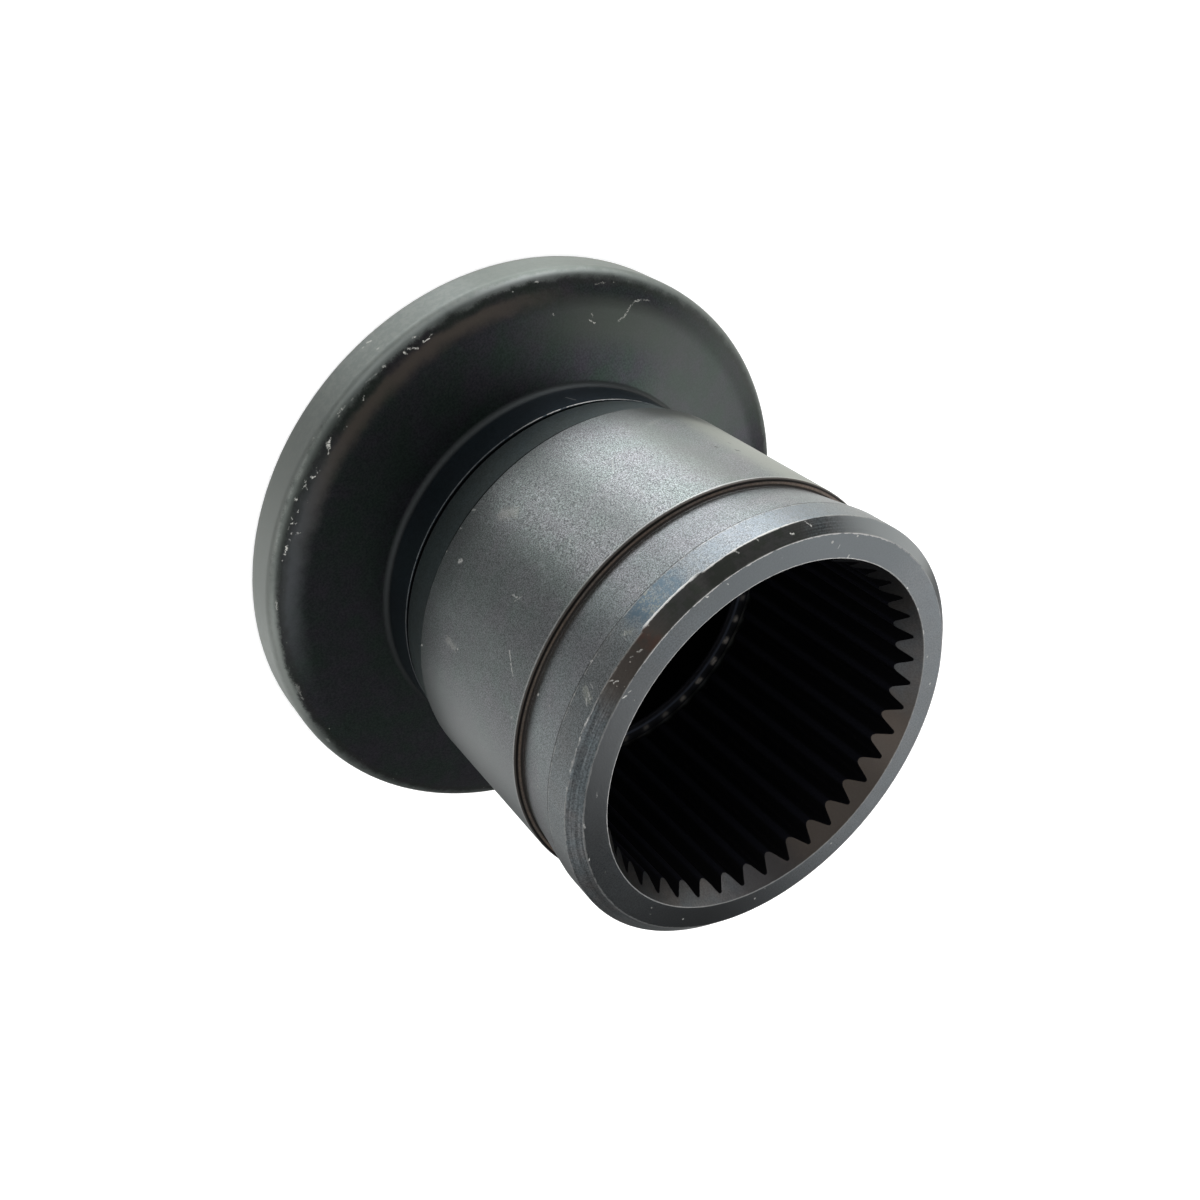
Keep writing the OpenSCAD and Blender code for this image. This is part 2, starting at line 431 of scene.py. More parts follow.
class Finish(Wires):
    """One blackened finish: tinted steel with turning marks and grain, and wear, marks and painted light and
    shade laid over it.
    """

    def __init__(
        self, name, colour, roughness, pitch, ring_depth=0.004, grain=0.3, grain_depth=0.006,
        warm=(1, 1, 1), cool=(0.95, 1, 1.05), sparkle=0.12, lines=0.0, metal=1.0,
    ):
        """Pitch and grain are lengths in millimetres, and so are their depths. Warm and cool tint its clouds.

        Sparkle is the grain's contrast in colour, and lines is that of the turning marks."""
        self.material = bpy.data.materials.new(name)
        self.material.use_nodes = True
        super().__init__(self.material.node_tree)
        self.shader = self.tree.nodes["Principled BSDF"]
        self.metal = metal
        self.point, self.radius, self.level, self.around = self.group(COORDINATES).outputs
        rings = self.group(TURNING, Around=self.around, Pitch=pitch).outputs["Height"]
        skin = self.group(GRAIN, Point=self.point, Size=grain).outputs
        self.grain = skin["Height"]
        self.height = self.math("ADD", self.product(rings, ring_depth), self.product(self.grain, grain_depth))
        tinted = self.mixed(skin["Cloud"], tint(colour, cool), tint(colour, warm))
        clouded = self.mixed(self.product(skin["Tone"], 0.35), tinted, tint(colour, (0.8, 0.8, 0.8)))
        self.colour = self.scaled(clouded, self.fade(self.grain, 0.3, 0.7, 1 - sparkle, 1 + sparkle))
        if lines:
            self.colour = self.scaled(self.colour, self.fade(rings, 0.38, 0.62, 1 - lines, 1 + lines))
        self.roughness = self.math("MULTIPLY_ADD", self.math("SUBTRACT", self.grain, 0.5), 0.12, roughness)

    def over(self, masks, colour, roughness=None, depth=0.0, dry=0.0):
        """Lays another colour and roughness over the finish where mask is 1, sunk by depth millimetres.

        Masks is one mask, or several to multiply. Dry is the share of the metal gloss that is lost."""
        mask = self.product(*masks) if isinstance(masks, tuple) else masks
        self.colour = self.mixed(mask, self.colour, colour)
        if roughness is not None:
            change = self.math("SUBTRACT", roughness, self.roughness)
            self.roughness = self.math("MULTIPLY_ADD", mask, change, self.roughness)
        if depth:
            self.height = self.math("MULTIPLY_ADD", mask, -depth, self.height)
        if dry:
            self.metal = self.product(self.math("MULTIPLY_ADD", mask, -dry, 1.0), self.metal)

    def sparkled(self, mask, amount):
        """Strengthens the contrast of the grain where mask is 1."""
        change = self.fade(self.grain, 0.3, 0.7, -amount, amount)
        self.colour = self.scaled(self.colour, self.math("MULTIPLY_ADD", change, mask, 1.0))

    def near_edge(self, radius, height, width, raggedness, gaps=0.0):
        """Mask along a turned edge."""
        near = self.group(
            EDGE, Point=self.point, Radius=self.radius, Height=self.level,
            Edge_Radius=radius, Edge_Height=height, Width=width, Raggedness=raggedness, Gaps=gaps,
        )
        return near.outputs["Mask"]

    def edge(self, radius, height, width, raggedness, strength, gaps=0.4):
        """Wears the oxide off along a turned edge. Strength may be a mask."""
        worn = self.near_edge(radius, height, width, raggedness, gaps)
        self.over((worn, strength), BARE_STEEL, 0.34, dry=0.15)

    def specks(self, cell, amount, colour, within=None):
        """Scatters specks over the finish, or only where within is above 0."""
        share = amount if within is None else self.product(within, amount)
        found = self.group(SPECKS, Point=self.point, Cell=cell, Amount=share)
        self.over(found.outputs["Mask"], colour, 0.5, dry=0.4)

    def band(self, value, start, full, full_end, end):
        """Mask that rises from start to full and falls again from full_end to end."""
        return self.product(self.fade(value, start, full), self.fade(value, full_end, end, 1.0, 0.0))

    def sector(self, angle, half, soft=0.6, raggedness=2.0):
        """Mask that is 1 within half the given angle of a direction round the axis, in degrees."""
        turn = math.radians(angle)
        across = self.vector("DOT_PRODUCT", self.around, (math.cos(turn), math.sin(turn), 0.0))
        away = self.math("DEGREES", self.math("ARCCOSINE", self.math("MINIMUM", across, 1.0)))
        away = self.math("MULTIPLY_ADD", self.sway(self.point, 0.8, 3.0, 0.7), raggedness, away)
        return self.fade(away, half + soft, half - soft)

    def side(self, angle, half, soft, raggedness, most, least=0.0):
        """A sector with an even softer rim, which goes from least to most."""
        return self.fade(self.sector(angle, half, soft, raggedness), 0, 1, least, most)

    def marks(self, listed, colour=BARE_STEEL, depth=0.0, shake=0.5, scale=1.0, dry=0.5, broken=0.0):
        """Adds marks, each ((angle, radius, height), (angle, radius, height), width, strength)."""
        jitter = self.noise(self.point, 2.2, 2.0, 0.6, "Color")
        shaken = self.scaled(self.vector("SUBTRACT", jitter, (0.5, 0.5, 0.5)), shake)
        point = self.vector("ADD", self.point, shaken)
        total = 0.0
        for begin, finish, width, strength in listed:
            ends = dict(Start=place_of(*begin), End=place_of(*finish))
            mark = self.group(MARK, Point=point, Width=width * scale, **ends)
            total = self.math("MAXIMUM", total, self.product(mark.outputs["Mask"], strength))
        if broken:
            bits = self.fade(self.noise(self.point, 3.5, 2.0, 0.6), 0.4, 0.52, 1 - broken, 1.0)
            total = self.product(total, bits)
        self.over(total, colour, 0.45, depth, dry=dry)

    def done(self, specular=0.5):
        """Joins the finish to its shader and gives its material."""
        bump = self.node("ShaderNodeBump")
        bump.inputs["Distance"].default_value = MM
        self.put(self.height, bump.inputs["Height"])
        sockets = {
            "Base Color": self.colour, "Roughness": self.roughness, "Metallic": self.metal,
            "Normal": bump.outputs[0], "Specular IOR Level": specular,
        }
        for name, value in sockets.items():
            self.put(value, self.shader.inputs[name])
        return self.material


def tint(colour, by):
    return tuple(c * b for c, b in zip(colour, by))


def place_of(angle, radius, height):
    """Point in millimetres from its angle in degrees, radius and height."""
    turn = math.radians(angle)
    return (radius * math.cos(turn), radius * math.sin(turn), height)


# Marks of wear: angle in degrees and radius or height, at the start and at the end, then width and strength.
# Nicks on the flange's front corner and scratches on its face, by radius
FRONT_MARKS = [
    (258.3, 54.9, 258.1, 54.8, 0.4, 0.9),
    (261.1, 54.0, 261.0, 53.6, 0.4, 1),
    (260.3, 54.1, 258.8, 53.2, 0.34, 0.8),
    (257.3, 53.5, 256.1, 53.3, 0.34, 0.9),
    (255.4, 53.6, 255.2, 53.6, 0.3, 0.6),
    (265.7, 54.5, 265.3, 54.4, 0.3, 0.7),
    (269.6, 54.8, 267.3, 54.5, 0.2, 0.4),
    (273.4, 54.7, 273.2, 54.7, 0.3, 0.6),
    (271.6, 53.7, 272.4, 53.3, 0.26, 0.7),
    (275.1, 54.9, 276.9, 55.1, 0.24, 0.6),
    (277.0, 54.8, 277.2, 54.8, 0.28, 0.6),
    (282.6, 55.8, 282.8, 55.8, 0.34, 0.6),
    (281.2, 54.1, 283.8, 52.9, 0.3, 1),
    (282.0, 54.0, 282.9, 53.5, 0.46, 0.9),
    (287.6, 53.2, 287.8, 53.2, 0.34, 0.8),
    (289.0, 53.7, 288.6, 53.2, 0.4, 1),
    (289.9, 54.4, 291.4, 53.6, 0.26, 0.6),
    (291.2, 54.2, 290.7, 54.0, 0.26, 0.7),
    (293.6, 54.6, 293.7, 54.6, 0.4, 1),
    (293.4, 52.8, 293.5, 52.8, 0.26, 0.6),
    (295.5, 53.7, 295.8, 53.7, 0.28, 0.8),
    (297.1, 54.4, 297.5, 54.2, 0.26, 0.6),
    (298.2, 54.2, 297.9, 53.4, 0.28, 0.9),
    (299.1, 54.4, 299.2, 54.4, 0.3, 0.8),
    (299.9, 53.7, 300.1, 53.7, 0.26, 0.7),
    (299.9, 52.9, 299.5, 52.3, 0.24, 0.7),
    (301.2, 53.7, 301.4, 53.7, 0.3, 0.9),
    (302.5, 54.0, 304.1, 54.0, 0.4, 1),
    (305.3, 54.2, 305.5, 54.2, 0.28, 0.7),
    (313.5, 54.7, 315.5, 54.6, 0.3, 0.7),
    (332.6, 54.0, 336.6, 54.1, 0.5, 0.3),
    (348.4, 54.8, 349.2, 54.8, 0.45, 0.3),
    (232.9, 54.5, 232.3, 54.4, 0.34, 0.6),
    (230.3, 49.0, 230.1, 48.6, 0.28, 0.6),
    (221.2, 47.2, 219.8, 46.7, 0.3, 0.9),
    (220.7, 48.3, 220.4, 47.8, 0.28, 0.5),
    (220.0, 53.2, 217.7, 53.6, 0.24, 0.4),
    (213.6, 47.4, 212.0, 48.6, 0.28, 0.48),
    (212.0, 48.6, 211.0, 50.4, 0.32, 0.54),
    (211.0, 50.4, 210.0, 51.4, 0.28, 0.48),
    (210.0, 51.4, 208.6, 51.8, 0.34, 0.6),
    (208.6, 51.8, 206.4, 52.3, 0.28, 0.36),
]
# Nicks on the rim, by height
RIM_MARKS = [
    (264.2, 1.9, 263.6, 2.3, 0.28, 0.7),
    (265.3, 2.1, 265.2, 2.1, 0.28, 0.5),
    (264.0, 5.7, 263.9, 5.7, 0.3, 0.5),
]

# Scratches, specks of dust, smears and pits on the seat, by height
SEAT_MARKS = [
    (287.9, 34.1, 287.5, 34.5, 0.8, 0.9),
    (285.3, 49.8, 285.0, 50.9, 0.32, 0.7),
    (286.2, 50.9, 284.1, 51.7, 0.22, 0.5),
    (296.0, 54.8, 297.6, 55.9, 0.24, 0.9),
    (298.2, 56.2, 300.2, 57.6, 0.24, 0.8),
    (309.3, 59.6, 309.0, 59.9, 0.35, 0.6),
    (244.5, 43.7, 247.3, 47.0, 0.16, 0.4),
    (247.0, 53.5, 247.7, 55.2, 0.16, 0.35),
    (250.2, 60.3, 248.5, 59.4, 0.16, 0.6),
    (272.0, 48.1, 273.0, 49.7, 0.18, 0.6),
    (267.0, 52.7, 267.3, 53.0, 0.28, 0.6),
    (276.0, 29.9, 275.6, 30.5, 0.35, 0.5),
    (281.5, 29.9, 281.2, 30.3, 0.3, 0.5),
    (315.0, 29.8, 314.6, 30.3, 0.4, 0.7),
]
SEAT_SMEARS = [
    (272.0, 36.8, 270.2, 38.6, 1.5, 0.3),
    (306.4, 38.2, 306.9, 40.6, 0.9, 0.32),
    (220.4, 35.1, 226.4, 37.0, 0.6, 0.2),
]
SEAT_PITS = [
    (218.6, 48.4, 218.3, 48.6, 0.32, 0.8),
    (213.4, 49.7, 212.8, 49.9, 0.42, 0.8),
    (211.3, 46.0, 211.2, 46.2, 0.28, 0.6),
]

# Wear on the collar, along its edge at the mouth chamfer and round a small scuffed patch, by height
COLLAR_MARKS = [
    (294.5, 76.1, 296.4, 76.0, 0.3, 1),
    (297.0, 76.0, 298.3, 76.0, 0.22, 0.8),
    (299.2, 76.1, 299.9, 76.1, 0.26, 0.9),
    (302.0, 76.1, 302.5, 76.1, 0.22, 0.7),
    (305.1, 76.0, 305.5, 76.0, 0.3, 0.9),
    (307.4, 76.1, 307.8, 76.1, 0.3, 0.9),
    (311.8, 76.1, 312.3, 76.1, 0.24, 0.7),
    (284.6, 71.4, 284.4, 71.6, 0.28, 0.6),
    (282.3, 72.2, 282.1, 72.3, 0.26, 0.5),
    (288.2, 73.4, 288.8, 74.3, 0.22, 0.5),
    (290.2, 73.9, 291.0, 74.9, 0.3, 0.5),
    (291.6, 74.2, 292.6, 74.9, 0.3, 0.5),
    (270.6, 75.7, 271.3, 75.8, 0.3, 0.7),
    (275.0, 73.4, 276.4, 74.6, 0.18, 0.4),
    (266.8, 72.3, 264.4, 73.0, 0.22, 0.3),
    (254.1, 73.3, 252.0, 73.9, 0.26, 0.2),
]
COLLAR_SMEARS = [
    (290.0, 73.0, 291.2, 74.6, 0.9, 0.4),
    (275.6, 73.6, 273.8, 74.8, 0.5, 0.35),
]

# Nicks on the mouth's chamfer and ring, by radius
CHAMFER_MARKS = [
    (231.9, 36.5, 231.2, 36.4, 0.34, 1),
    (227.0, 37.3, 225.8, 36.7, 0.28, 0.9),
    (246.4, 37.5, 245.7, 37.0, 0.26, 0.9),
    (240.5, 37.5, 240.2, 37.2, 0.24, 0.7),
    (276.9, 36.7, 275.9, 36.4, 0.26, 0.7),
    (278.6, 36.9, 278.0, 36.7, 0.2, 0.5),
    (285.2, 36.9, 284.2, 36.6, 0.24, 0.9),
    (285.1, 37.3, 284.6, 37.1, 0.22, 0.8),
    (272.6, 36.9, 272.1, 36.7, 0.22, 0.4),
]
MOUTH_MARKS = [
    (257.6, 35.2, 257.2, 35.0, 0.38, 1),
    (252.0, 34.8, 251.5, 34.5, 0.22, 0.7),
    (287.0, 35.1, 286.4, 34.8, 0.36, 1),
    (285.4, 34.8, 285.0, 34.5, 0.22, 0.7),
    (321.5, 35.4, 322.5, 35.2, 0.42, 0.6),
    (324.0, 35.5, 325.7, 35.5, 0.24, 0.6),
    (333.4, 35.3, 333.0, 35.2, 0.34, 0.9),
    (313.0, 33.6, 314.5, 33.5, 0.2, 0.5),
    (341.0, 33.6, 340.8, 33.5, 0.24, 0.5),
    (8.0, 33.8, 8.3, 33.7, 0.24, 0.5),
    (216.5, 33.6, 216.8, 33.0, 0.2, 0.5),
    (181.0, 31.6, 180.6, 31.6, 0.34, 0.9),
    (170.0, 31.5, 169.4, 31.5, 0.34, 1),
    (160.5, 31.5, 158.0, 31.5, 0.2, 0.7),
    (212.0, 31.6, 211.7, 31.9, 0.26, 0.7),
]


def front_height(radius):
    """Height of the flange's front at a radius: its face, the steeper band outside, and the round corner."""
    if radius < BAND_R:
        return FLANGE_ROOT_Z - (radius - NECK_R) * math.tan(FACE_SLOPE)
    slope = FACE_SLOPE + RIM_BAND_SLOPE
    into_corner = radius - (FLANGE_R - RIM_CORNER_R)
    if into_corner < RIM_CORNER_R * math.sin(slope):
        return BAND_Z - (radius - BAND_R) * math.tan(slope)
    centre = RIM_Z - RIM_CORNER_R * math.tan(math.pi / 4 - slope / 2)
    return centre + math.sqrt(max(RIM_CORNER_R ** 2 - into_corner ** 2, 0))


def on_front(angle, radius):
    return (angle, radius, front_height(radius))


def on_rim(angle, height):
    return (angle, FLANGE_R, height)


def on_wall(angle, height):
    return (angle, SEAT_R, height)


def on_chamfer(angle, radius):
    return (angle, radius, MOUTH_Z - (radius - MOUTH_R) / (SEAT_R - MOUTH_R) * (MOUTH_Z - CHAMFER_Z))


def on_mouth(angle, radius):
    return (angle, radius, MOUTH_Z)


def placed(listed, on):
    """The listed marks with their ends on one of the surfaces above."""
    return [(on(*mark[:2]), on(*mark[2:4]), *mark[4:]) for mark in listed]


def painted_fillet_highlight(f):
    """Painted highlight along the fillet at the neck's foot: a lighter, duller colour where the fillet
    catches the light softly.
    """
    f.over(f.near_edge(NECK_R + 0.4, FLANGE_ROOT_Z + 0.4, 1.0, 0.2), (0.06, 0.066, 0.068), 0.6)


def flange_finish():
    """Black forging, faintly green and lilac, with a paler rim, a dark scuffed band inside its corner, and
    painted highlights, reflections and shade on its face, corner and rim.
    """
    f = Finish(
        "flange_black", (0.062, 0.0765, 0.0755), 0.36, pitch=0.5, grain=0.35, grain_depth=0.008,
        warm=(1.22, 0.95, 1.16), cool=(0.92, 1.05, 0.92), sparkle=0.2,
    )
    # Distance over the corner, from its inner end at 0 out to the rim, and the same made uneven
    inwards = f.math("SUBTRACT", f.radius, FLANGE_R - RIM_CORNER_R)
    over_corner = f.math("SUBTRACT", inwards, f.math("SUBTRACT", f.level, RIM_Z - 0.1))
    soft = f.math("MULTIPLY_ADD", f.sway(f.point, 0.35, 3.0, 0.6), 2.4, over_corner)
    ragged = f.math("MULTIPLY_ADD", f.sway(f.point, 3.0, 3.0, 0.7), 1.2, soft)
    painted_fillet_highlight(f)
    # Painted highlight: the face lighter in a ring on the side about 214 degrees
    painted_face_highlight = f.band(f.radius, 40.0, 47.0, 50.5, 52.5)
    f.over((painted_face_highlight, f.sector(214, 18, 14, 4), 0.8), (0.1, 0.112, 0.1), 0.4)
    # Painted reflection: a brown band inside the corner on the side about 266 degrees
    browned = f.band(soft, -1.0, -2.8, -3.4, -6.6)
    f.over((browned, f.sector(266, 32, 14, 6), 0.8), (0.215, 0.182, 0.155), 0.42)
    # Painted sheen: a pale blue-grey band inside the corner on the side about 306 degrees
    painted_grey_sheen = f.band(soft, 0.4, -1.2, -2.2, -6.8)
    f.over((painted_grey_sheen, f.sector(306, 18, 14, 4), 0.62), (0.32, 0.345, 0.365), 0.45)
    # Painted dark reflection: a faint dark line just inside the corner
    painted_dark_reflection = f.band(soft, 0.7, -0.3, -1.0, -2.2)
    f.over((painted_dark_reflection, 0.35), (0.07, 0.07, 0.06), 0.45)
    # The rim and the outer corner paler than the face
    paler_rim = f.fade(ragged, -0.9, 1.2)
    f.over(paler_rim, (0.235, 0.26, 0.247), 0.5)
    # Painted light: the rim and corner lighter on the side about 314 degrees
    f.over((f.fade(soft, 0.3, 2.4), f.sector(314, 30, 16, 4)), (0.35, 0.375, 0.355), 0.5)
    # Painted shade: the flange darker on the side about 180 degrees
    f.over(f.side(180, 20, 14, 2, 0.4), (0.13, 0.14, 0.13), 0.45)
    # Painted highlight along the corner, lighter about 238, 264 and 328 degrees, and darker, as painted
    # shade, about 291 degrees
    painted_corner_highlight = f.band(ragged, -0.4, 0.6, 1.4, 2.6)
    for side, colour in (
        (f.sector(238, 8, 7, 6), (0.31, 0.335, 0.325)),
        (f.side(264, 10, 7, 6, 0.7), (0.35, 0.385, 0.37)),
        (f.side(328, 14, 9, 6, 0.8), (0.5, 0.54, 0.51)),
        (f.side(291, 17, 10, 6, 0.9), (0.15, 0.168, 0.156)),
    ):
        f.over((painted_corner_highlight, side), colour, 0.5)
    # Painted light: the rim lighter still about 332 degrees
    f.over((f.fade(ragged, 1.4, 2.6), f.sector(332, 12, 8, 4), 0.6), (0.52, 0.56, 0.53), 0.5)
    # Painted highlight: a lighter band on the corner's outer half about 266 degrees, over a gap in the
    # reflections
    outer_half = f.band(over_corner, 1.0, 2.0, 2.6, 4.0)
    f.over((outer_half, f.side(266, 12, 10, 6, 0.5)), (0.33, 0.362, 0.345), 0.5)
    rubbed = f.fade(f.noise(f.point, 0.9, 4.0, 0.7), 0.42, 0.6, 0, 0.3)
    f.over((rubbed, f.fade(ragged, 0.8, 2.2)), (0.36, 0.38, 0.35), 0.55)
    # Painted shade: the rim darker on the side about 224 degrees
    f.over((f.fade(ragged, 1.6, 3.0), f.side(224, 20, 8, 4, 0.6)), (0.15, 0.172, 0.15), 0.5)
    f.specks(0.6, 0.14, (0.26, 0.27, 0.25), f.band(over_corner, 1.0, 0.0, -1.6, -2.6))
    f.marks(placed(FRONT_MARKS, on_front), DRY_NICK, scale=0.62, shake=0.9, dry=0.8, broken=0.85)
    f.marks(placed(RIM_MARKS, on_rim), DRY_NICK, dry=0.8)
    return f.done()


def neck_finish():
    """Deep black neck, fillet and undercut, with a thin worn edge that is a painted highlight on the lit
    side, and painted shade, black, in the corner at the undercut.
    """
    f = Finish(
        "neck_black", (0.044, 0.056, 0.066), 0.46, pitch=0.3, ring_depth=0.005, grain=0.4, grain_depth=0.005,
    )
    painted_fillet_highlight(f)
    # Painted shade: black in the corner of the undercut's step
    at_step = f.fade(f.level, UNDERCUT_Z - 0.2, UNDERCUT_Z - 0.08)
    outside = f.fade(f.radius, UNDERCUT_R + 0.25, UNDERCUT_R + 0.5)
    f.over((at_step, outside), SHADOW_BLACK, 0.6)
    # Worn edge, strongest on the side about 232 degrees, where it is also a painted highlight
    f.edge(NECK_R, UNDERCUT_Z - UNDERCUT_CHAMFER, 0.16, 0.6, f.side(232, 18, 14, 4, 0.5, 0.14))
    f.marks([((232.0, NECK_R, 16.6), (230.7, NECK_R, 18.4), 0.2, 0.3)])
    return f.done()


def taper_finish():
    """Dark taper between two black lines of painted shade, at the undercut and at the seat's end."""
    f = Finish(
        "taper_black", (0.138, 0.162, 0.16), 0.46, pitch=0.3, ring_depth=0.005, grain=0.35, grain_depth=0.01,
        sparkle=0.2,
    )
    # Painted shade: black where the taper meets the undercut
    f.over(f.fade(f.level, TAPER_Z + 0.42, TAPER_Z + 0.18), (0.008, 0.009, 0.01), 0.6)
    # Painted shade: black at the seat's end, strongest on the side about 255 degrees
    at_seat = f.fade(f.level, SEAT_Z - 0.7, SEAT_Z - 0.42)
    f.over((at_seat, f.side(255, 30, 14, 8, 1, 0.35)), (0.012, 0.013, 0.013), 0.5)
    return f.done()


def seat_finish():
    """Ground seat: satin oxide with sparkling grain, faint lilac and green clouds, scratches and smears, and
    painted highlights, shade and dark reflections on some sides and at its ends.
    """
    f = Finish(
        "seat_satin", (0.222, 0.24, 0.242), 0.36, pitch=0.4, grain=0.2, grain_depth=0.02,
        warm=(1.04, 0.99, 1.02), cool=(0.96, 1.02, 0.98), sparkle=0.42,
    )
    # Painted highlight: lighter on the side about 200 degrees
    f.over(f.side(200, 14, 8, 6, 0.75), (0.37, 0.39, 0.345), 0.42)
    # Painted shade: darker in narrow sectors about 229 and 256 degrees
    f.over(f.side(229, 5, 6, 6, 0.55), (0.17, 0.185, 0.17), 0.38)
    f.over(f.side(256, 5, 7, 6, 0.5), (0.175, 0.19, 0.19))
    # Painted dark reflection of the flange, near the taper on the side about 213 degrees
    by_taper = f.fade(f.level, SEAT_Z + 7, SEAT_Z + 2)
    f.over((by_taper, f.sector(213, 11, 6, 6), 0.92), (0.06, 0.066, 0.059), 0.4)
    # Painted light: lighter on the side about 334 degrees
    f.over(f.side(334, 14, 12, 4, 0.6), (0.34, 0.36, 0.36))
    # Painted glints: the grain's contrast stronger on the side about 252 degrees, where the light falls
    f.sparkled(f.sector(252, 20, 14, 8), 0.38)
    # Painted dark reflection of the flange: darker towards the seat's end by the taper
    f.over(f.fade(f.level, SEAT_Z + 9, SEAT_Z, 0, 0.4), (0.11, 0.12, 0.12), 0.4)
    # Painted shade: darker, then black, on the seat's edge where it runs into the groove
    f.over(f.fade(f.level, GROOVE_Z - 0.5, GROOVE_Z - 0.36), (0.085, 0.075, 0.068), 0.5)
    f.over(f.fade(f.level, GROOVE_Z - 0.26, GROOVE_Z - 0.12), (0.01, 0.009, 0.008), 0.5)
    f.edge(SEAT_R, SEAT_Z, 0.16, 0.8, 0.2)
    f.edge(SEAT_R, GROOVE_Z - SEAT_CHAMFER_H - 0.04, 0.13, 0.5, 0.5, gaps=0.25)
    f.specks(1.3, 0.03, (0.4, 0.4, 0.38))
    f.marks(placed(SEAT_SMEARS, on_wall), (0.4, 0.4, 0.36), shake=2.6)
    f.marks(placed(SEAT_MARKS, on_wall), (0.42, 0.42, 0.4), scale=0.7, broken=0.6)
    f.marks(placed(SEAT_PITS, on_wall), (0.03, 0.03, 0.03), depth=0.05)
    return f.done()


def groove_finish():
    """Square wall of the groove, brown with dried oil, with painted shade, black, towards the seat and in the
    corner.
    """
    f = Finish(
        "groove_brown", (0.2, 0.163, 0.137), 0.5, pitch=0.3, ring_depth=0.01, grain_depth=0.01,
        warm=(1.08, 1, 0.94), cool=(0.9, 0.95, 1), sparkle=0.2, metal=0.75,
    )
    wall_top = SEAT_R - SEAT_CHAMFER
    # Painted shade: black under the seat's edge and in the groove's corner
    f.over(f.fade(f.radius, wall_top - 0.35, wall_top - 0.12), (0.012, 0.011, 0.01), 0.5)
    f.over(f.fade(f.radius, GROOVE_R + 0.5, GROOVE_R + 0.25), PAINTED_CORNER_SHADE, 0.5)
    return f.done()


def ramp_finish():
    """Satin ramp, brown and then black, as painted shade, where it runs into the groove."""
    f = Finish(
        "ramp_satin", (0.25, 0.268, 0.276), 0.36, pitch=0.4, ring_depth=0.006, grain=0.2, grain_depth=0.02,
        warm=(1.03, 0.99, 1.01), cool=(0.96, 1.01, 0.99), sparkle=0.45,
    )
    stained = f.math("MULTIPLY_ADD", f.sway(f.point, 0.7, 3.0, 0.6), 1.2, f.level)
    f.over(f.fade(stained, GROOVE_Z + 1.4, GROOVE_Z + 0.4, 0, 0.3), (0.17, 0.15, 0.13), 0.42)
    # Painted shade: black at the ramp's foot in the groove's corner
    f.over(f.fade(f.level, GROOVE_Z + 0.38, GROOVE_Z + 0.2), PAINTED_CORNER_SHADE, 0.45)
    # Painted glints: the grain's contrast stronger on the side about 250 degrees
    f.sparkled(f.sector(250, 22, 14, 8), 0.2)
    f.specks(1.3, 0.04, (0.4, 0.4, 0.38))
    return f.done()


def battered_line(f):
    """Thin bright line along the battered part of the chamfer's outer edge, and on past its upper end."""
    battered = f.near_edge(SEAT_R, CHAMFER_Z - 0.38, 0.26, 0.7, gaps=0.3)
    f.over((battered, f.sector(264, 8, 1.5)), (0.7, 0.7, 0.68), 0.4, dry=0.35)
    beyond = f.near_edge(SEAT_R, CHAMFER_Z - 0.04, 0.17, 0.9, gaps=0.36)
    f.over((beyond, f.sector(242, 13, 3)), DULL_STEEL, 0.4, dry=0.5)


def collar_finish():
    """Collar with mottled blue oxide in places, a tool line at the ramp, a worn edge at the chamfer, and
    painted glints on the lit side.
    """
    f = Finish(
        "collar_satin", (0.235, 0.252, 0.256), 0.36, pitch=0.35, grain=0.2, grain_depth=0.02,
        warm=(1.02, 1.0, 1.0), cool=(0.96, 1.0, 1.01), sparkle=0.4,
    )
    # Painted glints: the grain's contrast stronger on the side about 250 degrees
    f.sparkled(f.sector(250, 18, 14, 8), 0.35)
    clear_of_line = f.fade(f.level, COLLAR_Z + 0.2, COLLAR_Z + 0.6)
    mottle = f.fade(f.noise(f.point, 1.1, 4.0, 0.7), 0.38, 0.62, 0.35, 1)
    blued = f.product(mottle, clear_of_line)
    for side, strength, colour in (
        (f.sector(236, 22, 9, 6), 0.6, (0.24, 0.28, 0.315)),
        (f.sector(265.5, 7, 2.5, 5), 0.95, (0.13, 0.185, 0.23)),
        (f.sector(270.5, 2, 2, 4), 0.7, (0.09, 0.135, 0.175)),
    ):
        f.over((blued, side, strength), colour)
    dusted = f.fade(f.noise(f.point, 2.6, 3.0, 0.7), 0.52, 0.6)
    f.over((dusted, clear_of_line, f.sector(267, 2, 2.5, 5)), (0.3, 0.31, 0.27))
    tool_line = f.band(f.level, COLLAR_Z + 0.08, COLLAR_Z + 0.14, COLLAR_Z + 0.2, COLLAR_Z + 0.28)
    f.over((tool_line, 0.7), (0.06, 0.06, 0.06), 0.5, depth=0.02)
    f.edge(SEAT_R, COLLAR_Z + 0.32, 0.12, 1.6, 0.3, gaps=0.5)
    f.edge(SEAT_R, CHAMFER_Z - 0.08, 0.16, 1.2, 0.22, gaps=0.45)
    battered_line(f)
    f.marks(placed(COLLAR_SMEARS, on_wall), (0.3, 0.31, 0.25), shake=3.0, broken=0.5)
    f.specks(0.8, 0.08, (0.45, 0.45, 0.42), f.sector(283, 14, 4))
    f.marks(placed(COLLAR_MARKS, on_wall), DULL_STEEL, scale=0.62, broken=0.6)
    return f.done()


